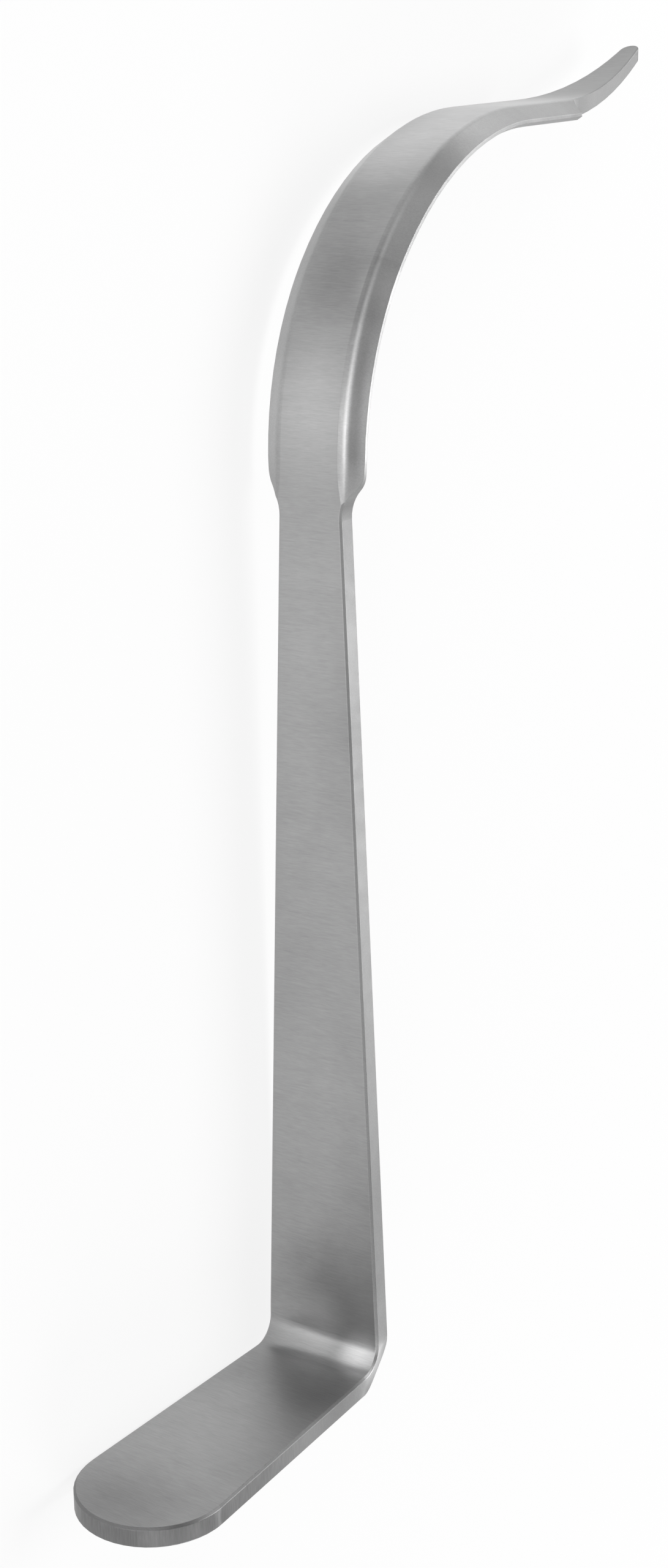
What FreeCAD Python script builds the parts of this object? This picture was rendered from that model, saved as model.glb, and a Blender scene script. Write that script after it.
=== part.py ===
import FreeCAD, Part
import math
import os

import Sketcher
from FreeCAD import Placement, Rotation, Vector

# Handheld retractor bent and ground from one plate: a foot, a tight bend, a tapering shank,
# a neck, a bevelled blade that curves back, and a tongue that curls up at its end.
# Construction axes: X runs up the shank, Y is the way the foot points, Z is the width.
# The shank's front face is the plane Y = 0 and the foot's top face meets it at the origin.
# The finished piece is then laid on its side edges, as it comes to rest on a table.

dimensions = {
    # plate
    "plate_thickness": 4.0,
    "edge_chamfer": 0.45,
    "edge_break": 0.12,
    # foot and bend
    "foot_reach": 73.4,
    "foot_end_width": 30.2,
    "foot_angle": 89.0,
    "root_width": 26.6,
    "bend_radius": 4.6,
    "bend_draw_radius": 8.5,
    "flare_radius": 60.0,
    # neck and shoulders
    "shoulder_run": 9.2,
    "neck_width": 14.0,
    "shoulder_radius": 7.5,
    "shoulder_corner_radius": 4.5,
    # blade, along its front face
    "blade_height": 183.4,
    "lower_arc_radius": 60.9,
    "lower_arc_span": 38.9,
    "upper_arc_radius": 70.1,
    "upper_arc_span": 48.6,
    "flat_length": 26.8,
    "curl_radius": 102.3,
    "curl_span": 22.8,
    "tip_straight": 3.8,
    # blade, across
    "blade_root_width": 21.3,
    "blade_end_width": 24.3,
    "crown_width": 14.0,
    "crown_radius": 3.0,
    "rim_depth": 2.57,
    "rim_thickness": 0.7,
    "back_bevel_width": 1.8,
    "run_out_radius": 120.0,
    "run_out_span": 5.7,
    "shoulder_lead": 3.0,
    "cut_lead": 0.01,
    # tongue
    "tongue_length": 48.1,
    "tongue_root_width": 12.45,
    "tongue_end_radius": 2.2,
    "tongue_shoulder_angle": 52.0,
    "tongue_fillet_radius": 12.0,
    "tongue_end_thickness": 2.05,
    "thinning_lead": 5.6,
}

BEGIN, FINISH, CENTRE = 1, 2, 3
ORIGIN_POINT, HORIZONTAL_AXIS = -1, -1
LEFT, RIGHT = 1, -1
ALL_KNOWN = ("Radius", "Angle")
HALF_TURN = 180
STRAIGHT_SHARE = 0.75  # of the tongue's length, for its straight sides
TOUCH = 0.001  # gaps under this count as touching


class Size:
    """A number together with the sheet expression that gives it."""

    def __init__(self, value, text):
        self.value = value
        self.text = text

    def __add__(self, other):
        return Size(self.value + other.value, "(%s + %s)" % (self.text, other.text))

    def __sub__(self, other):
        return Size(self.value - other.value, "(%s - %s)" % (self.text, other.text))

    def __mul__(self, factor):
        return Size(self.value * factor, "(%s * %s)" % (self.text, factor))

    def times(self, other):
        return Size(self.value * other.value, "(%s * %s)" % (self.text, other.text))

    def __truediv__(self, other):
        return Size(self.value / other.value, "(%s / %s)" % (self.text, other.text))


def size(name):
    return Size(dimensions[name], "sizes." + name)


def half(name):
    return size(name) * 0.5


def trig(name, angle):
    return Size(getattr(math, name)(math.radians(angle.value)), "%s(%s * 1 deg)" % (name, angle.text))


def fillSheet(document):
    sheet = document.addObject("Spreadsheet::Sheet", "sizes")
    for row, (name, value) in enumerate(dimensions.items(), 1):
        sheet.set("A%d" % row, name)
        sheet.set("B%d" % row, str(value))
        sheet.setAlias("B%d" % row, name)
    document.recompute()


def originPlane(body, role):
    return [plane for plane in body.Origin.OriginFeatures if plane.Role == role][0]


def newSketch(body, name, role):
    sketch = body.newObject("Sketcher::SketchObject", name)
    sketch.AttachmentSupport = [(originPlane(body, role), "")]
    sketch.MapMode = "FlatFace"
    return sketch


def constrain(sketch, kind, *where):
    return sketch.addConstraint(Sketcher.Constraint(kind, *where))


def dimension(sketch, amount, kind, *where):
    angle = kind == "Angle"
    value = math.radians(amount.value) if angle else amount.value
    index = constrain(sketch, kind, *where, value)
    sketch.setExpression("Constraints[%d]" % index, amount.text + (" * 1 deg" if angle else ""))


def measure(sketch, name, kind, *where):
    index = constrain(sketch, kind, *where, 1.0)
    sketch.setDriving(index, False)
    sketch.renameConstraint(index, name)


def placeOne(sketch, kind, amount, geometry, vertex):
    # A signed distance from the sketch's origin to a point.
    if amount.value < 0:
        dimension(sketch, amount * -1, kind, geometry, vertex, ORIGIN_POINT, BEGIN)
    else:
        dimension(sketch, amount, kind, ORIGIN_POINT, BEGIN, geometry, vertex)


def place(sketch, geometry, vertex, across, up):
    placeOne(sketch, "DistanceX", across, geometry, vertex)
    placeOne(sketch, "DistanceY", up, geometry, vertex)


def drawLine(sketch, start, end):
    return sketch.addGeometry(Part.LineSegment(start, end), False)


def markPoint(sketch, across, up):
    point = sketch.addGeometry(Part.Point(Vector(across.value, up.value, 0)), True)
    place(sketch, point, BEGIN, across, up)
    return point


def closeWith(sketch, last, first, corners):
    # Straight runs from the end of one piece, round the given corners, to the start of another.
    for across, up in corners:
        line = drawLine(sketch, sketch.getPoint(*last), Vector(across.value, up.value, 0))
        constrain(sketch, "Coincident", *last, line, BEGIN)
        place(sketch, line, FINISH, across, up)
        last = (line, FINISH)
    line = drawLine(sketch, sketch.getPoint(*last), sketch.getPoint(*first))
    constrain(sketch, "Coincident", *last, line, BEGIN)
    constrain(sketch, "Coincident", line, FINISH, *first)


class Path:
    """Lines and arcs drawn one after another, each tangent to the last."""

    def __init__(self, sketch, point, heading, last=None):
        self.sketch = sketch
        self.point = point
        self.heading = heading
        self.last = last

    def join(self, geometry, start, end):
        if self.last:
            constrain(self.sketch, "Tangent", *self.last, geometry, start)
        self.last = (geometry, end)
        return geometry

    def line(self, length, known=True):
        ahead = Vector(math.cos(self.heading), math.sin(self.heading), 0)
        start, self.point = self.point, self.point + ahead * length.value
        geometry = drawLine(self.sketch, start, self.point)
        if known:
            dimension(self.sketch, length, "Distance", geometry, BEGIN, geometry, FINISH)
        return self.join(geometry, BEGIN, FINISH)

    def arc(self, radius, span, side, known=ALL_KNOWN):
        spoke = Vector(math.sin(self.heading), -math.cos(self.heading), 0) * side * radius.value
        centre = self.point - spoke
        angle = math.atan2(spoke.y, spoke.x)
        turn = math.radians(span.value) * side
        circle = Part.Circle(centre, Vector(0, 0, 1), radius.value)
        arc = Part.ArcOfCircle(circle, min(angle, angle + turn), max(angle, angle + turn))
        geometry = self.sketch.addGeometry(arc, False)
        self.point = centre + Rotation(Vector(0, 0, 1), span.value * side).multVec(spoke)
        self.heading += turn
        for kind, amount in zip(ALL_KNOWN, (radius, span)):
            if kind in known:
                dimension(self.sketch, amount, kind, geometry)
        return self.join(geometry, *((BEGIN, FINISH) if side == LEFT else (FINISH, BEGIN)))


def number(value):
    return Size(value, str(value))


def bendTop():
    # Height at which the shank's front face runs into the bend.
    return size("bend_radius") / trig("tan", half("foot_angle"))


def outside():
    # Half width that clears the blank.
    return size("foot_end_width")


def drawBladeFront(path):
    path.arc(size("lower_arc_radius"), size("lower_arc_span"), RIGHT)
    path.arc(size("upper_arc_radius"), size("upper_arc_span"), RIGHT)
    path.line(size("flat_length"))
    return path.arc(size("curl_radius"), size("curl_span"), LEFT)


def drawBladeBack(path):
    thickness = size("plate_thickness")
    path.arc(size("lower_arc_radius") - thickness, size("lower_arc_span"), RIGHT)
    path.arc(size("upper_arc_radius") - thickness, size("upper_arc_span"), RIGHT)
    path.line(size("flat_length") - size("thinning_lead"))


def drawUnderside(path, end):
    # One arc, tangent to the blade's back, that thins the tongue towards its end.
    reach = end - path.point
    ahead = Vector(math.cos(path.heading), math.sin(path.heading), 0)
    rise = reach.cross(ahead).z * -1
    radius = number(reach.Length ** 2 / (2 * rise))
    span = number(2 * math.degrees(math.atan2(rise, reach.dot(ahead))))
    path.arc(radius, span, LEFT, known=())


def drawBend(sketch, shank, top, radius):
    path = Path(sketch, top, math.pi, (shank, BEGIN))
    arc = path.arc(radius, number(HALF_TURN - size("foot_angle").value), RIGHT, known=("Radius",))
    foot = path.line(size("foot_reach"), known=False)
    return arc, foot


def sideProfile(body):
    sketch = newSketch(body, "SideProfile", "XY_Plane")
    thickness = size("plate_thickness")
    top = size("blade_height")
    level = Vector(0, -thickness.value, 0)
    low, high = Vector(bendTop().value, 0, 0), Vector(top.value, 0, 0)

    shank = drawLine(sketch, low, high)
    constrain(sketch, "PointOnObject", shank, BEGIN, HORIZONTAL_AXIS)
    constrain(sketch, "PointOnObject", shank, FINISH, HORIZONTAL_AXIS)
    placeOne(sketch, "DistanceX", top, shank, FINISH)
    front = Path(sketch, high, 0.0, (shank, FINISH))
    curl = drawBladeFront(front)
    tip = front.line(size("tip_straight"))
    front.line(thickness * 0.5)
    inner, foot = drawBend(sketch, shank, low, size("bend_radius"))
    dimension(sketch, size("foot_angle"), "Angle", foot)
    constrain(sketch, "PointOnObject", ORIGIN_POINT, BEGIN, foot)
    placeOne(sketch, "DistanceY", size("foot_reach") + thickness, foot, FINISH)

    backShank = drawLine(sketch, low + level, high + level)
    constrain(sketch, "Horizontal", backShank)
    place(sketch, backShank, FINISH, top, thickness * -1)
    back = Path(sketch, high + level, 0.0, (backShank, FINISH))
    drawBladeBack(back)
    outer, underside = drawBend(sketch, backShank, low + level, size("bend_radius") + thickness)
    constrain(sketch, "Vertical", inner, CENTRE, outer, CENTRE)
    constrain(sketch, "Parallel", foot, underside)

    across = Rotation(Vector(0, 0, 1), math.degrees(front.heading) - 90)
    end = front.point + across.multVec(Vector(size("tongue_end_thickness").value, 0, 0))
    drawUnderside(back, end)
    tipCap = drawLine(sketch, front.point, end)
    constrain(sketch, "Coincident", *front.last, tipCap, BEGIN)
    constrain(sketch, "Coincident", *back.last, tipCap, FINISH)
    constrain(sketch, "Perpendicular", front.last[0], tipCap)
    dimension(sketch, size("tongue_end_thickness"), "Distance", tipCap, BEGIN, tipCap, FINISH)
    footCap = drawLine(sketch, sketch.getPoint(foot, FINISH), sketch.getPoint(underside, FINISH))
    constrain(sketch, "Coincident", foot, FINISH, footCap, BEGIN)
    constrain(sketch, "Coincident", underside, FINISH, footCap, FINISH)
    constrain(sketch, "Perpendicular", foot, footCap)

    measure(sketch, "tip_reach", "DistanceY", tip, FINISH, ORIGIN_POINT, BEGIN)
    runs = {"front": (shank, inner, foot), "back": (backShank, outer, underside), "tongue": (curl, tip)}
    return sketch, runs


def bendReach():
    # How far in front of the shank the bend runs into the foot.
    return bendTop().times(trig("sin", size("foot_angle")))


def footOutline(body):
    sketch = newSketch(body, "FootOutline", "YZ_Plane")
    radius, bow = half("foot_end_width"), size("flare_radius")
    root, side, end = half("root_width"), bendReach(), size("foot_reach")
    centre = end - radius
    flare = math.degrees(math.asin((radius.value - root.value) / (centre.value - side.value)))
    path = Path(sketch, Vector(side.value, root.value, 0), 0.0)
    first = path.arc(bow, number(flare), LEFT, known=("Radius",))
    place(sketch, first, BEGIN, side, root)
    constrain(sketch, "Vertical", first, BEGIN, first, CENTRE)
    path.line(centre - side, known=False)
    tip = path.arc(radius, number(HALF_TURN + 2 * flare), RIGHT, known=("Radius",))
    constrain(sketch, "PointOnObject", tip, CENTRE, HORIZONTAL_AXIS)
    placeOne(sketch, "DistanceX", centre, tip, CENTRE)
    path.line(centre - side, known=False)
    last = path.arc(bow, number(flare), LEFT, known=("Radius",))
    place(sketch, last, FINISH, side, root * -1)
    far = end + size("plate_thickness") * 2
    clear = outside()
    corners = [(side, clear * -1), (far, clear * -1), (far, clear), (side, clear)]
    closeWith(sketch, path.last, (first, BEGIN), corners)
    return sketch


def shankOutline(body):
    # One side of the shank, from below the bend to the shoulder's corner on the blade.
    sketch = newSketch(body, "ShankOutline", "XZ_Plane")
    below, clear, bow = size("plate_thickness") * -2, outside(), size("flare_radius")
    root, neck, blade = half("root_width"), half("neck_width"), half("blade_root_width")
    top, height = bendTop(), size("blade_height") - size("shoulder_run")
    beyond = size("blade_height") + size("plate_thickness") * 3
    taper = math.degrees(math.atan2(root.value - neck.value, height.value - top.value))
    path = Path(sketch, Vector(below.value, root.value, 0), 0.0)
    straight = path.line(top - below, known=False)
    place(sketch, straight, BEGIN, below, root)
    place(sketch, straight, FINISH, top, root)
    path.arc(bow, number(taper), RIGHT, known=("Radius",))
    path.line(number(height.value - path.point.x), known=False)
    place(sketch, *path.last, height, neck)

    hollow, corner = size("shoulder_radius"), size("shoulder_corner_radius")
    turn = math.degrees(math.acos(1 - (blade.value - neck.value) / (hollow.value + corner.value)))
    path.arc(hollow, number(turn + taper), LEFT, known=("Radius",))
    lead = size("shoulder_lead")
    path.arc(corner, number(turn) - lead, RIGHT, known=("Radius",))
    placeOne(sketch, "DistanceY", blade, *path.last)
    run = path.line(beyond - number(path.point.x), known=False)
    dimension(sketch, lead, "Angle", run)
    placeOne(sketch, "DistanceX", beyond, run, FINISH)
    closeWith(sketch, path.last, (straight, BEGIN), [(beyond, clear), (below, clear)])
    return sketch


def drawInOutline(body):
    # The side wall's profile across the bend: it rolls inwards towards the outside of the turn.
    sketch = newSketch(body, "DrawInOutline", "XZ_Plane")
    turned = half("foot_angle")
    sketch.AttachmentOffset = Placement(Vector(), Rotation(Vector(0, 1, 0), turned.value))
    sketch.setExpression("AttachmentOffset.Rotation.Angle", turned.text + " * 1 deg")
    radius, thickness = size("bend_draw_radius"), size("plate_thickness")
    inside = size("bend_radius") / trig("sin", turned) - size("bend_radius")
    side = half("root_width") + size("cut_lead")
    depth = thickness * 1.25
    path = Path(sketch, Vector(inside.value, side.value, 0), math.pi)
    roll = number(math.degrees(math.asin(depth.value / radius.value)))
    arc = path.arc(radius, roll, LEFT, known=("Radius",))
    place(sketch, arc, BEGIN, inside, side)
    constrain(sketch, "Vertical", arc, BEGIN, arc, CENTRE)
    placeOne(sketch, "DistanceX", inside - depth, arc, FINISH)
    clear = outside()
    corners = [(inside - depth, clear), (inside, clear)]
    closeWith(sketch, path.last, (arc, BEGIN), corners)
    return sketch


def tongueOutline(body, reach):
    # Seen along the shank: shoulders, fillets, tapering sides and a round end.
    sketch = newSketch(body, "TongueOutline", "YZ_Plane")
    slope, fillet = size("tongue_shoulder_angle"), size("tongue_fillet_radius")
    radius, long = size("tongue_end_radius"), size("tongue_length")
    root, blade, clear = half("tongue_root_width"), half("blade_end_width"), outside()
    shoulder = (reach - long) * -1
    taper = math.degrees(math.atan((root.value - radius.value) / (long.value * STRAIGHT_SHARE)))
    steep = math.radians(slope.value)
    start = Vector(shoulder.value, blade.value, 0)
    start += Vector(1 / math.tan(steep), 1, 0) * (clear.value - blade.value)
    path = Path(sketch, start, math.pi + steep)
    first = path.line(number((clear.value - root.value) / math.sin(steep)), known=False)
    path.arc(fillet, number(slope.value - taper), RIGHT, known=("Radius",))
    placeOne(sketch, "DistanceY", root, *path.last)
    side = path.line(long * STRAIGHT_SHARE, known=False)
    tip = path.arc(radius, number(HALF_TURN - 2 * taper), LEFT, known=("Radius",))
    constrain(sketch, "PointOnObject", tip, CENTRE, HORIZONTAL_AXIS)
    placeOne(sketch, "DistanceX", (reach - radius) * -1, tip, CENTRE)
    otherSide = path.line(long * STRAIGHT_SHARE, known=False)
    constrain(sketch, "Symmetric", side, BEGIN, otherSide, FINISH, HORIZONTAL_AXIS)
    path.arc(fillet, number(slope.value - taper), RIGHT, known=("Radius",))
    last = path.line(number((clear.value - root.value) / math.sin(steep)), known=False)
    dimension(sketch, slope * -1, "Angle", last)
    constrain(sketch, "PointOnObject", markPoint(sketch, shoulder, blade), BEGIN, first)
    constrain(sketch, "Symmetric", first, BEGIN, last, FINISH, HORIZONTAL_AXIS)
    placeOne(sketch, "DistanceY", clear, first, BEGIN)
    far = (reach + size("plate_thickness") * 3) * -1
    closeWith(sketch, (last, FINISH), (first, BEGIN), [(far, clear * -1), (far, clear)])
    return sketch


def bladePath(body):
    # The blade's front face, with a lead below it that lifts clear of the neck.
    sketch = newSketch(body, "BladePath", "XY_Plane")
    start = Vector(size("blade_height").value, 0, 0)
    path = Path(sketch, start, math.pi)
    leadIn = path.arc(size("run_out_radius"), size("run_out_span"), RIGHT)
    place(sketch, leadIn, FINISH, size("blade_height"), number(0))
    constrain(sketch, "Vertical", leadIn, FINISH, leadIn, CENTRE)
    blade = Path(sketch, start, 0.0, (leadIn, FINISH))
    drawBladeFront(blade)
    for name, ends in (("low", (leadIn, BEGIN)), ("far", blade.last)):
        measure(sketch, name + "_x", "DistanceX", ORIGIN_POINT, BEGIN, *ends)
        measure(sketch, name + "_y", "DistanceY", ORIGIN_POINT, BEGIN, *ends)
    return sketch


def bevelSection(body, name, path, end, lean, width):
    # What is ground away beside the crown, the rim and the back bevel, on one side.
    sketch = newSketch(body, name, "YZ_Plane")
    sketch.AttachmentOffset = Placement(Vector(), Rotation(Vector(0, -1, 0), lean.value))
    sketch.setExpression("AttachmentOffset.Rotation.Angle", lean.text + " * 1 deg")
    sketch.setExpression("AttachmentOffset.Base.x", "%s.Constraints.%s_y" % (path.Name, end))
    sketch.setExpression("AttachmentOffset.Base.z", "%s.Constraints.%s_x" % (path.Name, end))
    thickness, depth, rim = size("plate_thickness"), size("rim_depth"), size("rim_thickness")
    crown, edge, radius = half("crown_width"), width * 0.5, size("crown_radius")
    slope = math.atan2(depth.value, edge.value - crown.value)
    apex = crown.value - radius.value * math.tan(slope / 2)
    path = Path(sketch, Vector(size("cut_lead").value, apex, 0), math.pi / 2)
    crest = path.arc(radius, number(math.degrees(slope)), LEFT, known=("Radius",))
    placeOne(sketch, "DistanceX", size("cut_lead"), crest, BEGIN)
    constrain(sketch, "Horizontal", crest, BEGIN, crest, CENTRE)
    bevel = path.line(number(depth.value / math.sin(slope)), known=False)
    place(sketch, bevel, FINISH, depth * -1, edge)
    constrain(sketch, "PointOnObject", markPoint(sketch, number(0), crown), BEGIN, bevel)
    back = edge - size("back_bevel_width") * 2
    clear, deep = outside() * 1.5, thickness * -3
    corners = [
        ((depth + rim) * -1, edge),
        (depth + rim - thickness * 2, back),
        (deep, back),
        (deep, clear),
        (thickness * 2, clear),
        (thickness * 2, crown - radius),
    ]
    closeWith(sketch, (bevel, FINISH), (crest, BEGIN), corners)
    return sketch


def pocket(body, sketch, behind, ahead):
    cut = body.newObject("PartDesign::Pocket", sketch.Name.replace("Outline", "Cut"))
    cut.Profile = sketch
    cut.SideType = "Two sides"
    for name, amount in (("Length", behind), ("Length2", ahead)):
        cut.setExpression(name, amount.text)
    return cut


def mirrorSides(body, feature):
    mirrored = body.newObject("PartDesign::Mirrored", feature.Name + "Mirrored")
    mirrored.Originals = [feature]
    mirrored.MirrorPlane = (originPlane(body, "XY_Plane"), [""])
    body.Tip = mirrored
    return mirrored


def padBlank(body, profile):
    pad = body.newObject("PartDesign::Pad", "Blank")
    pad.Profile = profile
    pad.SideType = "Symmetric"
    pad.setExpression("Length", (size("foot_end_width") + size("plate_thickness")).text)
    return pad


def bevelCut(body, path, start, end):
    cut = body.newObject("PartDesign::SubtractivePipe", "BevelCut")
    cut.Profile = start
    cut.Spine = (path, ["Edge%d" % (i + 1) for i in range(len(path.Geometry))])
    cut.Mode = "Standard"
    cut.Transformation = "Multisection"
    cut.Sections = [(end, [""])]
    return cut


def edgesAlong(shape, profile, run):
    # The edges where the faces of one run of the side profile meet the side walls.
    curves = [profile.Geometry[index].toShape() for index in run]
    names = []
    for index, edge in enumerate(shape.Edges, 1):
        middle = edge.valueAt((edge.FirstParameter + edge.LastParameter) / 2)
        seen = Part.Vertex(middle.x, middle.y, 0)
        gap = min(seen.distToShape(curve)[0] for curve in curves)
        if gap < TOUCH < abs(middle.z):
            names.append("Edge%d" % index)
    return names


def chamfer(body, name, base, profile, run, width):
    body.Document.recompute()
    cut = body.newObject("PartDesign::Chamfer", name)
    cut.Base = (base, edgesAlong(base.Shape, profile, run))
    cut.setExpression("Size", size(width).text)
    body.Document.recompute()
    return cut


def grindBlade(body):
    # The bevels beside the crown, the rims and the back bevels.
    path = bladePath(body)
    body.Document.recompute()
    lean = size("lower_arc_span") + size("upper_arc_span") - size("curl_span")
    start = bevelSection(body, "BevelStart", path, "low", size("run_out_span"), size("blade_root_width"))
    end = bevelSection(body, "BevelEnd", path, "far", lean, size("blade_end_width"))
    mirrorSides(body, bevelCut(body, path, start, end))
    body.Document.recompute()


def retractor(document):
    body = document.addObject("PartDesign::Body", "retractor")
    body.Label = "retractor"
    profile, runs = sideProfile(body)
    padBlank(body, profile)
    document.recompute()
    reach = Size(profile.getDatum("tip_reach").Value, "SideProfile.Constraints.tip_reach / 1 mm")

    clear, thickness = size("foot_reach") * 2, size("plate_thickness")
    pocket(body, footOutline(body), clear, clear)
    trimmed = mirrorSides(body, pocket(body, shankOutline(body), bendReach(), thickness * 2))
    eased = chamfer(body, "FrontChamfer", trimmed, profile, runs["front"], "edge_chamfer")
    chamfer(body, "BackBreak", eased, profile, runs["back"], "edge_break")
    mirrorSides(body, pocket(body, drawInOutline(body), clear, clear))
    clear = size("blade_height") * 2
    tongue = pocket(body, tongueOutline(body, reach), clear, clear)
    chamfer(body, "TongueBreak", tongue, profile, runs["tongue"], "edge_break")
    grindBlade(body)
    return body


def upright(vector):
    return vector.normalize() * math.copysign(1, vector.z)


def firstMet(corners, pivot, level, ahead):
    # The corner the piece rolls onto: the least rise for its distance ahead of the pivot.
    beyond = [corner - pivot for corner in corners if (corner - pivot).dot(ahead) > TOUCH]
    return pivot + min(beyond, key=lambda reach: reach.dot(level) / reach.dot(ahead))


def areApart(first, second, pivot, end, level):
    # Whether two points lie on different sides of the line from pivot to end.
    turns = [(end - pivot).cross(point - pivot).dot(level) for point in (first, second)]
    return turns[0] * turns[1] < 0


def restingTurn(shape):
    # From its lowest corner the piece rolls onto a second and a third, and on over any side
    # of that triangle that its centre of mass hangs over, until three corners carry it.
    centre = shape.Solids[0].CenterOfMass
    corners = [vertex.Point for vertex in shape.Vertexes]
    level = Vector(0, 0, 1)
    pivot = min(corners, key=lambda corner: corner.z)
    ahead = Vector(centre.x - pivot.x, centre.y - pivot.y, 0).normalize()
    other = firstMet(corners, pivot, level, ahead)
    level = upright(level.cross(ahead).cross(other - pivot))
    for _ in corners:
        line = other - pivot
        ahead = level.cross(line).normalize()
        ahead = ahead * math.copysign(1, ahead.dot(centre - pivot))
        third = firstMet(corners, pivot, level, ahead)
        level = upright(line.cross(third - pivot))
        if areApart(other, centre, pivot, third, level):
            other = third
        elif areApart(pivot, centre, other, third, level):
            pivot = third
        else:
            return Rotation(level, Vector(0, 0, 1))
    raise RuntimeError("no three corners carry the piece")


def layDown(body):
    # On its side edges, with the middle of its footprint at the origin.
    turn = restingTurn(body.Shape)
    body.Placement = Placement(Vector(), turn)
    body.Document.recompute()
    box = body.Shape.optimalBoundingBox()
    body.Placement = Placement(Vector(-box.Center.x, -box.Center.y, -box.ZMin), turn)
    body.Document.recompute()


def checkModel(document, body):
    # Nothing has failed, and every feature after the first takes some of the metal away.
    for item in document.Objects:
        if "Invalid" in item.State or "Error" in item.State:
            raise RuntimeError("%s: %s" % (item.Name, item.State))
    features = [item for item in body.Group if item.isDerivedFrom("PartDesign::Feature")]
    for before, after in zip(features, features[1:]):
        print("%-20s %10.1f mm3" % (after.Name, after.Shape.Volume))
        if after.Shape.Volume >= before.Shape.Volume:
            raise RuntimeError(after.Name + " cuts nothing")
    if body.Shape.isNull() or not body.Shape.isValid() or len(body.Shape.Solids) != 1:
        raise RuntimeError("the piece isn't one valid solid")


document = FreeCAD.newDocument("retractor")
fillSheet(document)
piece = retractor(document)
layDown(piece)
checkModel(document, piece)
os.makedirs("parts", exist_ok=True)
piece.Shape.exportStep("parts/%s.step" % piece.Label)
print(piece.Placement, piece.Shape.optimalBoundingBox())
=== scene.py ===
import bpy
from math import cos, radians, sin
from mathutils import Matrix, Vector

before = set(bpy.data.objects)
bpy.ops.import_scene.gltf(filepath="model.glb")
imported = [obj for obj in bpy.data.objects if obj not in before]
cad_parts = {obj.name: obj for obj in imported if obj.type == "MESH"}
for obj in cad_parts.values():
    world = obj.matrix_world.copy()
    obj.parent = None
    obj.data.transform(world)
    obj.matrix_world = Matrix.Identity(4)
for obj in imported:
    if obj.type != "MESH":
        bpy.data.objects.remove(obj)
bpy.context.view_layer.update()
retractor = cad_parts["retractor"]
print("frame loaded")


# helpers for the node trees
def addNode(tree, kind, place, **settings):
    node = tree.nodes.new(kind)
    node.location = place
    for name, value in settings.items():
        setattr(node, name, value)
    return node


def newMaterial(name):
    material = bpy.data.materials.new(name)
    material.use_nodes = True
    tree = material.node_tree
    tree.nodes.clear()
    output = addNode(tree, "ShaderNodeOutputMaterial", (1600, 0))
    return material, tree, output


def sumUp(tree, place, first, second, weight=1):
    # first + second * weight
    node = addNode(tree, "ShaderNodeMath", place, operation="MULTIPLY_ADD")
    tree.links.new(second, node.inputs[0])
    node.inputs[1].default_value = weight
    tree.links.new(first, node.inputs[2])
    return node.outputs[0]


def times(tree, place, first, second):
    node = addNode(tree, "ShaderNodeMath", place, operation="MULTIPLY")
    tree.links.new(first, node.inputs[0])
    tree.links.new(second, node.inputs[1])
    return node.outputs[0]


def spread(tree, place, value, low, high, lowOut=0, highOut=1, smooth=False):
    # value from low..high to lowOut..highOut, and no further
    node = addNode(tree, "ShaderNodeMapRange", place)
    if smooth:
        node.interpolation_type = "SMOOTHSTEP"
    tree.links.new(value, node.inputs["Value"])
    node.inputs["From Min"].default_value = low
    node.inputs["From Max"].default_value = high
    node.inputs["To Min"].default_value = lowOut
    node.inputs["To Max"].default_value = highOut
    return node.outputs["Result"]


def blendBy(tree, place, share, first, second):
    # first where share is 0, second where it is 1, each of them a number or a socket
    node = addNode(tree, "ShaderNodeMix", place)
    tree.links.new(share, node.inputs["Factor"])
    for name, value in (("A", first), ("B", second)):
        if isinstance(value, (int, float)):
            node.inputs[name].default_value = value
        else:
            tree.links.new(value, node.inputs[name])
    return node.outputs["Result"]


def stretchedNoise(tree, place, coordinates, look):
    mapping = addNode(tree, "ShaderNodeMapping", place)
    mapping.inputs["Scale"].default_value = look["scale"]
    mapping.inputs["Rotation"].default_value = [radians(angle) for angle in look.get("turn", (0, 0, 0))]
    noise = addNode(tree, "ShaderNodeTexNoise", (place[0] + 200, place[1]))
    noise.inputs["Scale"].default_value = 1
    noise.inputs["Detail"].default_value = look.get("detail", 2)
    noise.inputs["Roughness"].default_value = look.get("crisp", 0.5)
    noise.inputs["Distortion"].default_value = look.get("wander", 0)
    tree.links.new(coordinates, mapping.inputs["Vector"])
    tree.links.new(mapping.outputs[0], noise.inputs["Vector"])
    return noise.outputs["Fac"]


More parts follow.
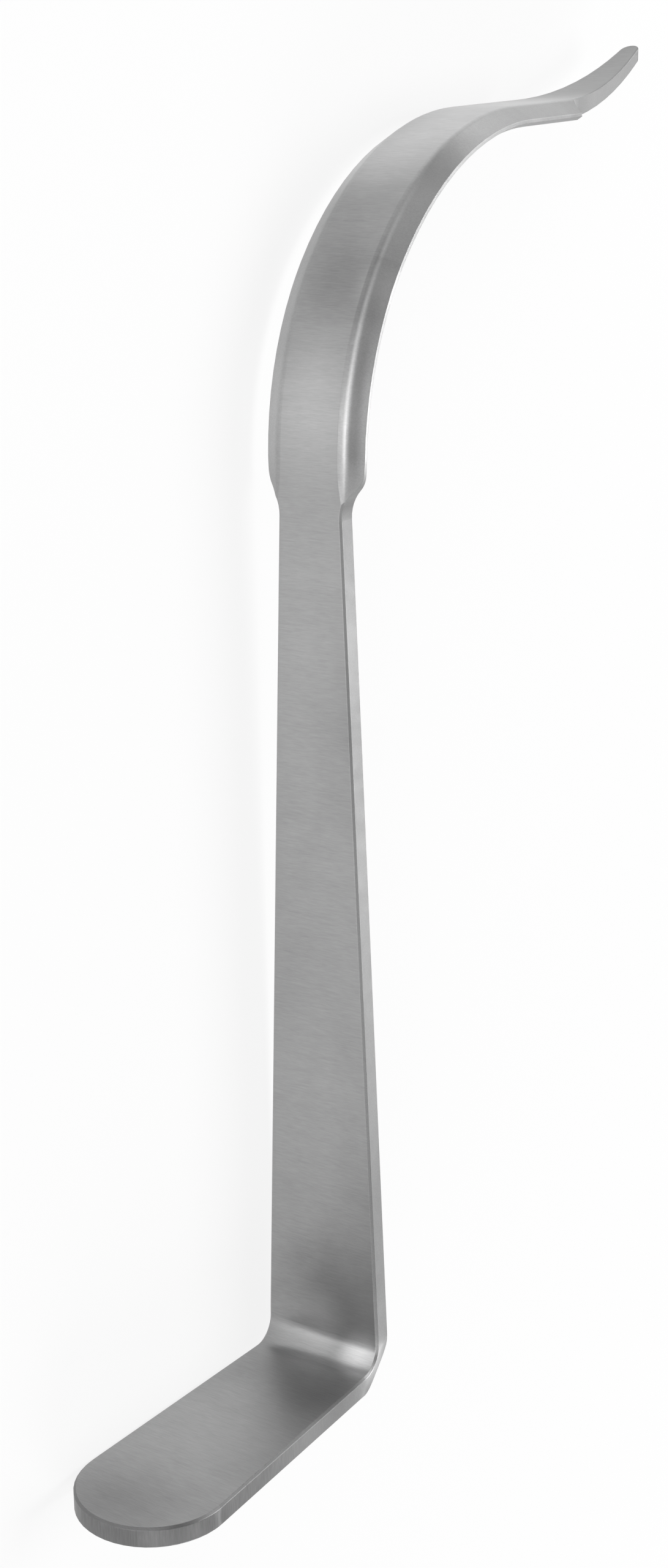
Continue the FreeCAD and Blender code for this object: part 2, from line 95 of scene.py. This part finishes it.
# painted highlights and painted shade: spots of the colour made lighter or darker in place of reflections
# and shade: where, how far each reaches, how much it changes
paintedLightSpots = {
    "bladeTop": ((0.114, -0.010, 0.019), 0.025, 0.45),
    "bladeTopFar": ((0.111, -0.003, 0.007), 0.016, 0.3),
    "shoulders": ((0.066, 0.030, 0.013), 0.018, 0.3),
    "lowerBlade": ((0.089, 0.020, 0.015), 0.013, -0.25),
    "lowerBladeRim": ((0.088, 0.019, 0.0235), 0.007, 0.4),
    "lowerBladeMiddle": ((0.087, 0.021, 0.012), 0.016, 0.1),
    "belowBlade": ((0.073, 0.028, 0.014), 0.012, 0.1),
    "bladeTurn": ((0.117, -0.023, 0.012), 0.022, 0.2),
    "upperBlade": ((0.118, -0.035, 0.014), 0.045, 0.16),
    "towardsTongue": ((0.120, -0.045, 0.012), 0.030, 0.35),
    "neck": ((0.028, 0.030, 0.014), 0.030, 0.1),
    "shankSide": ((0.010, 0.020, 0.050), 0.045, -0.6),
    "lowerShankSide": ((-0.090, 0.020, 0.050), 0.040, -0.4),
    "lowerShank": ((-0.110, 0.030, 0.0155), 0.016, -0.27),
    "aboveBend": ((-0.120, 0.030, 0.014), 0.008, 0.3),
    "bendCorner": ((-0.126, 0.0315, 0.023), 0.007, 1.2),
    "bendMiddle": ((-0.126, 0.0315, 0.011), 0.013, 0.35),
    "footRoot": ((-0.128, 0.045, 0.024), 0.014, -0.3),
    "footMiddle": ((-0.128, 0.066, 0.012), 0.030, 0.16),
    "footEnd": ((-0.127, 0.099, 0.013), 0.022, -0.27),
    "footEndSide": ((-0.130, 0.0895, 0.0305), 0.006, -0.2),
}
raggedEdge = 0.006


def paintedSpotTones(tree, coordinates, clouds):
    # a factor around 1 of painted highlights and painted shade, its spots with ragged edges
    total = None
    for number, (centre, reach, change) in enumerate(paintedLightSpots.values()):
        level = -1700 - 200 * number
        away = addNode(tree, "ShaderNodeVectorMath", (-700, level), operation="DISTANCE")
        away.inputs[1].default_value = centre
        tree.links.new(coordinates, away.inputs[0])
        ragged = sumUp(tree, (-500, level), away.outputs["Value"], clouds, raggedEdge)
        start = raggedEdge / 2
        base = 0 if total else 1
        spot = spread(tree, (-300, level), ragged, start, start + reach, base + change, base, smooth=True)
        total = sumUp(tree, (-100, level), total, spot) if total else spot
    return total


# painted highlights and painted shade of the blade, in bands that follow its crown lines: start, end, and
# the change between them
# a band lies in Z, measured where Y is 0, and the slope is what the crown line gains in Z along Y
paintedBladeLook = {
    "nearSlope": 0.0198,
    "farSlope": 0.0265,
    "ridge": [(0.0192, 0.0196, -0.1), (0.0202, 0.0208, 0.6), (0.0208, 0.0214, -0.5)],
    "ridgeAlong": (0.085, 0.108),
    "valley": [(0.0209, 0.0217, -0.4), (0.0222, 0.0239, 0.32)],
    "valleyAlong": (0.072, 0.092),
    "beyond": [(0.0065, 0.0058, -0.03), (0.0062, 0.0042, 0.15)],
    "rim": 0.6,
    "rimFacing": (0.8, 0.95),
    "topBevel": -0.36,
    "topBevelBand": (0.0194, 0.0208),
    "topAlong": (0.104, 0.113),
    "fromShank": (0.05, 0.058),
    "toTongue": (-0.066, -0.061),
}


def addSteps(tree, value, steps, level):
    # each step is where it starts, where it ends, and the tone it adds or takes away
    total = None
    for number, (start, end, change) in enumerate(steps):
        place = (-500, level + 200 * number)
        if start < end:
            step = spread(tree, place, value, start, end, 0, change, smooth=True)
        else:
            step = spread(tree, place, value, end, start, change, 0, smooth=True)
        total = sumUp(tree, (-300, level + 200 * number), total, step) if total else step
    return total


def paintedBladeTones(tree, place, facing):
    # a painted highlight along the crown of the blade, with a painted dark valley of shade beside it, and
    # both fade upwards
    s = paintedBladeLook
    across = sumUp(tree, (-700, 1200), place.outputs["Z"], place.outputs["Y"], -s["nearSlope"])
    ridgeFade = spread(tree, (-500, 2100), place.outputs["X"], *s["ridgeAlong"], 1, 0)
    ridge = times(tree, (-100, 1300), addSteps(tree, across, s["ridge"], 1300), ridgeFade)
    valleyFade = spread(tree, (-500, 2300), place.outputs["X"], *s["valleyAlong"], 1, 0)
    valley = times(tree, (-100, 1700), addSteps(tree, across, s["valley"], 1700), valleyFade)
    change = sumUp(tree, (100, 1300), valley, ridge)

    # a painted highlight on the thin rim, and painted shade on the near bevel where the blade turns over
    rim = spread(tree, (-300, 1100), facing.outputs["Z"], *s["rimFacing"], 0, s["rim"])
    change = sumUp(tree, (0, 1300), change, rim)
    bevel = spread(tree, (-300, 900), across, *s["topBevelBand"], 0, s["topBevel"], smooth=True)
    onTop = spread(tree, (-300, 700), place.outputs["X"], *s["topAlong"])
    change = sumUp(tree, (200, 1300), change, times(tree, (0, 900), bevel, onTop))

    # painted shade and a painted highlight beyond the far crown line
    farAcross = sumUp(tree, (-700, 2200), place.outputs["Z"], place.outputs["Y"], -s["farSlope"])
    change = sumUp(tree, (200, 2300), change, addSteps(tree, farAcross, s["beyond"], 2500))
    factor = addNode(tree, "ShaderNodeMath", (400, 2300), operation="ADD")
    tree.links.new(change, factor.inputs[0])
    factor.inputs[1].default_value = 1

    # only between the shank and the tongue
    fromShank = spread(tree, (-500, 3000), place.outputs["X"], *s["fromShank"])
    toTongue = spread(tree, (-500, 3200), place.outputs["Y"], *s["toTongue"])
    onBlade = times(tree, (-300, 3000), fromShank, toTongue)
    return blendBy(tree, (0, 3000), onBlade, 1, factor.outputs[0])


# painted highlight and painted shade of the tongue: its near wall lies above a line that gains this slope
# in Z along Y
paintedTongueLook = {
    "slope": 0.13275,
    "face": 0.86,
    "edge": 0.6,
    "edgeBand": (0.02595, 0.0263),
    "wall": 1.3,
    "wallBand": (0.02638, 0.02642),
    "along": (-0.075, -0.064),
}


def paintedTongueTones(tree, place):
    # painted shade on a duller face, a painted dark line of shade along its edge, and a painted highlight
    # on a lighter wall
    s = paintedTongueLook
    across = sumUp(tree, (-700, 3600), place.outputs["Z"], place.outputs["Y"], -s["slope"])
    faceTone = spread(tree, (-500, 3600), across, *s["edgeBand"], s["face"], s["edge"])
    onWall = spread(tree, (-500, 3800), across, *s["wallBand"])
    tone = blendBy(tree, (-200, 3600), onWall, faceTone, s["wall"])
    onTongue = spread(tree, (-500, 3400), place.outputs["Y"], *s["along"], 1, 0)
    return blendBy(tree, (0, 3600), onTongue, 1, tone)


# painted shade and painted highlight on the plate's edges: the foot's ground wall, the edge of its face,
# and the shank's near side
# facing is how far the surface faces along X or Z, and along is where the tone comes in or goes out
paintedEdgeLook = {
    "wallFacing": (0.15, 0.3),
    "wallAlong": (0.042, 0.072),
    "wallPaintedShade": 0.7,
    "footEdge": -0.3,
    "footEdgeFacing": (0.5, 0.65),
    "footEdgeEnd": (0.85, 0.95),
    "footEdgeAlong": (0.035, 0.04),
    "sideFacing": (0.85, 0.95),
    "sideEnd": (0.05, 0.058),
    "sideAlong": (-0.09, 0.03),
    "sidePaintedLight": (0.06, -0.12),
    "neckAlong": (0.022, 0.042),
    "neckPaintedShade": -0.22,
}


def footWall(tree, place, facing):
    # 1 on the wall around the foot's end, which is ground from edge to edge
    s = paintedEdgeLook
    upDown = addNode(tree, "ShaderNodeMath", (-1200, -1200), operation="ABSOLUTE")
    tree.links.new(facing.outputs["X"], upDown.inputs[0])
    sideways = spread(tree, (-1000, -1200), upDown.outputs[0], *s["wallFacing"], 1, 0)
    onFoot = spread(tree, (-1000, -1400), place.outputs["Y"], *s["wallAlong"])
    return times(tree, (-800, -1200), sideways, onFoot)


def paintedEdgeTones(tree, place, facing, onWall):
    s = paintedEdgeLook
    # painted shade: the foot's wall darker
    wallPaintedShade = spread(tree, (800, 700), onWall, 0, 1, 1, s["wallPaintedShade"])

    # painted shade along the eased edge of the foot's face
    slope = spread(tree, (400, 900), facing.outputs["X"], *s["footEdgeFacing"])
    slopeEnd = spread(tree, (400, 1100), facing.outputs["X"], *s["footEdgeEnd"], s["footEdge"], 0)
    pastBend = spread(tree, (400, 1300), place.outputs["Y"], *s["footEdgeAlong"])
    footEdge = times(tree, (800, 1000), times(tree, (600, 1000), slope, slopeEnd), pastBend)

    # painted light and painted shade on the near side of the shank, darker towards the neck
    side = spread(tree, (400, 1500), facing.outputs["Z"], *s["sideFacing"])
    onShank = spread(tree, (400, 1700), place.outputs["X"], *s["sideEnd"], 1, 0)
    side = times(tree, (600, 1500), side, onShank)
    fade = spread(tree, (400, 1900), place.outputs["X"], *s["sideAlong"], *s["sidePaintedLight"])
    neck = spread(tree, (400, 2100), place.outputs["X"], *s["neckAlong"], 0, s["neckPaintedShade"])
    sideTone = times(tree, (800, 1500), side, sumUp(tree, (600, 1900), fade, neck))
    return sumUp(tree, (900, 800), sumUp(tree, (900, 900), wallPaintedShade, footEdge), sideTone)


# brushed steel, scales in waves per metre: the lines run across the plate's width, along Z
brushedSteel = {
    "dark": (0.293, 0.293, 0.294, 1),
    "light": (0.43, 0.43, 0.431, 1),
    "roughness": (0.38, 0.46),
    "anisotropic": 0.6,
    "highlightsAlong": (0.03, 0.01, 1),
    "fineLines": {"scale": (6000, 6000, 400), "turn": (2, 1.5, 0), "detail": 3, "crisp": 0.65},
    "lines": {"scale": (2600, 2600, 240), "turn": (-1.5, 2, 0), "detail": 2, "crisp": 0.6},
    "bands": {"scale": (330, 330, 14), "turn": (1, 2.5, 0), "detail": 2},
    "clouds": {"scale": (45, 45, 60), "detail": 4, "crisp": 0.55, "wander": 0.6},
    "waves": {"scale": (190, 190, 120), "detail": 1},
    "wallLines": {"scale": (300, 3400, 3400), "detail": 2, "crisp": 0.6},
    "linesWeight": 0.5,
    "bandsWeight": 0.25,
    "cloudsWeight": 0.65,
    "toneRange": (0.62, 1.78),
    "edgeRadius": 0.00018,
    "edgeSamples": 6,
    "waveBump": 0.1,
    "waveDepth": 0.0004,
    "lineBump": 0.035,
    "lineDepth": 0.00006,
}


def addRelief(tree, grain, waves):
    # fine relief of the lines, on the slow unevenness of hand polishing, on eased edges
    s = brushedSteel
    edges = addNode(tree, "ShaderNodeBevel", (600, -600), samples=s["edgeSamples"])
    edges.inputs["Radius"].default_value = s["edgeRadius"]
    uneven = addNode(tree, "ShaderNodeBump", (800, -500))
    uneven.inputs["Strength"].default_value = s["waveBump"]
    uneven.inputs["Distance"].default_value = s["waveDepth"]
    tree.links.new(waves, uneven.inputs["Height"])
    tree.links.new(edges.outputs[0], uneven.inputs["Normal"])
    relief = addNode(tree, "ShaderNodeBump", (1000, -400))
    relief.inputs["Strength"].default_value = s["lineBump"]
    relief.inputs["Distance"].default_value = s["lineDepth"]
    tree.links.new(grain, relief.inputs["Height"])
    tree.links.new(uneven.outputs[0], relief.inputs["Normal"])
    return relief.outputs[0]


def makeBrushedSteel():
    s = brushedSteel
    material, tree, output = newMaterial("brushedSteel")
    shader = addNode(tree, "ShaderNodeBsdfPrincipled", (1300, 0))
    shader.inputs["Metallic"].default_value = 1
    shader.inputs["Anisotropic"].default_value = s["anisotropic"]
    tree.links.new(shader.outputs[0], output.inputs[0])

    coordinates = addNode(tree, "ShaderNodeTexCoord", (-1600, 0)).outputs["Object"]
    fine = stretchedNoise(tree, (-1300, 600), coordinates, s["fineLines"])
    lines = stretchedNoise(tree, (-1300, 300), coordinates, s["lines"])
    bands = stretchedNoise(tree, (-1300, 0), coordinates, s["bands"])
    clouds = stretchedNoise(tree, (-1300, -300), coordinates, s["clouds"])
    waves = stretchedNoise(tree, (-1300, -600), coordinates, s["waves"])
    wallLines = stretchedNoise(tree, (-1300, -900), coordinates, s["wallLines"])

    # where on the piece, and which way the surface faces
    surface = addNode(tree, "ShaderNodeNewGeometry", (-1600, -1200))
    facing = addNode(tree, "ShaderNodeSeparateXYZ", (-1400, -1200))
    place = addNode(tree, "ShaderNodeSeparateXYZ", (-1400, -1400))
    tree.links.new(surface.outputs["Normal"], facing.inputs[0])
    tree.links.new(coordinates, place.inputs[0])
    onWall = footWall(tree, place, facing)

    # lines along the width, or along the plate's thickness on the foot's wall
    alongWidth = sumUp(tree, (-800, 500), fine, lines, s["linesWeight"])
    alongWall = sumUp(tree, (-800, -700), wallLines, wallLines, s["linesWeight"])
    grain = blendBy(tree, (-500, 300), onWall, alongWidth, alongWall)
    marks = sumUp(tree, (-300, 200), grain, bands, s["bandsWeight"])
    marks = sumUp(tree, (-100, 100), marks, clouds, s["cloudsWeight"])
    tone = spread(tree, (600, 100), marks, *s["toneRange"])

    # colour of the lines, times the painted highlights and painted shade of the places
    colour = addNode(tree, "ShaderNodeMix", (900, 200), data_type="RGBA")
    colour.inputs["A"].default_value = s["dark"]
    colour.inputs["B"].default_value = s["light"]
    tree.links.new(tone, colour.inputs["Factor"])
    ground = times(tree, (700, 500), paintedBladeTones(tree, place, facing), paintedTongueTones(tree, place))
    paintedTones = times(tree, (900, 500), paintedSpotTones(tree, coordinates, clouds), ground)
    allPaintedTones = times(tree, (1000, 600), paintedTones, paintedEdgeTones(tree, place, facing, onWall))
    paintedColour = addNode(tree, "ShaderNodeVectorMath", (1100, 200), operation="SCALE")
    tree.links.new(colour.outputs["Result"], paintedColour.inputs[0])
    tree.links.new(allPaintedTones, paintedColour.inputs["Scale"])
    tree.links.new(paintedColour.outputs[0], shader.inputs["Base Color"])

    # the lighter the metal, the smoother it is
    smooth, rough = s["roughness"]
    tree.links.new(spread(tree, (900, -100), tone, 0, 1, rough, smooth), shader.inputs["Roughness"])
    tree.links.new(addRelief(tree, grain, waves), shader.inputs["Normal"])
    tangent = addNode(tree, "ShaderNodeCombineXYZ", (1000, -700))
    for axis, value in zip("XYZ", s["highlightsAlong"]):
        tangent.inputs[axis].default_value = value
    tree.links.new(tangent.outputs[0], shader.inputs["Tangent"])
    return material


steel = makeBrushedSteel()
retractor.data.materials.clear()
retractor.data.materials.append(steel)
print("steel ready")


# floor, seen as plain white by the camera and in reflections, and matt for light and shadow
floorLook = {
    "size": 30,
    "below": 0.00005,
    "colour": (0.8, 0.8, 0.8, 1),
    "glow": 1,
    "share": 0.85,  # how much of what is seen is the plain white
}


def makeFloor():
    s = floorLook
    material, tree, output = newMaterial("paleFloor")
    matt = addNode(tree, "ShaderNodeBsdfDiffuse", (0, 0))
    matt.inputs["Color"].default_value = s["colour"]
    glow = addNode(tree, "ShaderNodeEmission", (0, -200))
    glow.inputs["Strength"].default_value = s["glow"]

    path = addNode(tree, "ShaderNodeLightPath", (-800, 200))
    seen = path.outputs["Is Camera Ray"]
    for number, name in enumerate(("Is Glossy Ray", "Is Transmission Ray")):
        either = addNode(tree, "ShaderNodeMath", (-600 + 200 * number, 200), operation="MAXIMUM")
        tree.links.new(seen, either.inputs[0])
        tree.links.new(path.outputs[name], either.inputs[1])
        seen = either.outputs[0]
    share = addNode(tree, "ShaderNodeMath", (-200, 200), operation="MULTIPLY")
    tree.links.new(seen, share.inputs[0])
    share.inputs[1].default_value = s["share"]

    mixed = addNode(tree, "ShaderNodeMixShader", (300, 0))
    tree.links.new(share.outputs[0], mixed.inputs[0])
    tree.links.new(matt.outputs[0], mixed.inputs[1])
    tree.links.new(glow.outputs[0], mixed.inputs[2])
    tree.links.new(mixed.outputs[0], output.inputs[0])

    bpy.ops.mesh.primitive_plane_add(size=s["size"], location=(0, 0, -s["below"]))
    floor = bpy.context.object
    floor.name = "floor"
    floor.data.materials.append(material)


makeFloor()
print("floor ready")


# lamps: side in degrees from +X, height in degrees, distance and size in metres, watts, and their aim
middle = (0, 0, 0)
bladeMiddle = (0.09, -0.03, 0.015)
lamps = {
    "backHigh": {"side": 270, "height": 60, "far": 1.6, "size": 1.1, "watts": 18, "aim": middle},
    "backLow": {"side": 240, "height": 30, "far": 1.6, "size": 1.1, "watts": 3.4, "aim": middle},
    "footEnd": {"side": 180, "height": 30, "far": 1.6, "size": 1.1, "watts": 12, "aim": middle},
    "frontLow": {"side": 90, "height": 12.5, "far": 1.6, "size": 1.1, "watts": 7.4, "aim": middle},
    "frontLeft": {"side": 120, "height": 30, "far": 1.6, "size": 1.1, "watts": 4.7, "aim": middle},
    "bladeFront": {"side": 65, "height": 25, "far": 0.5, "size": 0.4, "watts": 0.5, "aim": bladeMiddle},
    "bladeEnd": {"side": 10, "height": 25, "far": 0.5, "size": 0.4, "watts": 0.32, "aim": bladeMiddle},
    "bladeTop": {"side": 315, "height": 16, "far": 0.4, "size": 0.35, "watts": 0.5, "aim": bladeMiddle},
}


def makeLamps():
    for name, s in lamps.items():
        data = bpy.data.lights.new(name, "AREA")
        data.shape = "DISK"
        data.size = s["size"]
        data.energy = s["watts"]
        lamp = bpy.data.objects.new(name, data)
        side = radians(s["side"])
        height = radians(s["height"])
        way = Vector((cos(side) * cos(height), sin(side) * cos(height), sin(height)))
        lamp.location = Vector(s["aim"]) + way * s["far"]
        lamp.rotation_euler = way.to_track_quat("Z", "Y").to_euler()
        bpy.context.collection.objects.link(lamp)


makeLamps()


# world
worldLook = {"colour": (1, 1, 1, 1), "fill": 0.03}


def makeWorld():
    world = bpy.data.worlds.new("studio")
    bpy.context.scene.world = world
    world.use_nodes = True
    background = world.node_tree.nodes["Background"]
    background.inputs["Color"].default_value = worldLook["colour"]
    background.inputs["Strength"].default_value = worldLook["fill"]


makeWorld()
print("lights ready")


# camera, at the photo's viewing angle, turn in degrees
cameraView = {
    "place": (0.120203, 0.384942, 0.258796),
    "turn": (-15.12523, -56.08109, -91.3802),
    "lens": 53.41,
    "sensor": 36,
    "nearest": 0.01,
}


def makeCamera():
    s = cameraView
    data = bpy.data.cameras.new("camera")
    data.lens = s["lens"]
    data.sensor_width = s["sensor"]
    data.clip_start = s["nearest"]
    camera = bpy.data.objects.new("camera", data)
    camera.location = s["place"]
    camera.rotation_euler = [radians(angle) for angle in s["turn"]]
    bpy.context.collection.objects.link(camera)
    bpy.context.scene.camera = camera


makeCamera()
bpy.context.scene.view_settings.view_transform = "Standard"
print("camera ready")
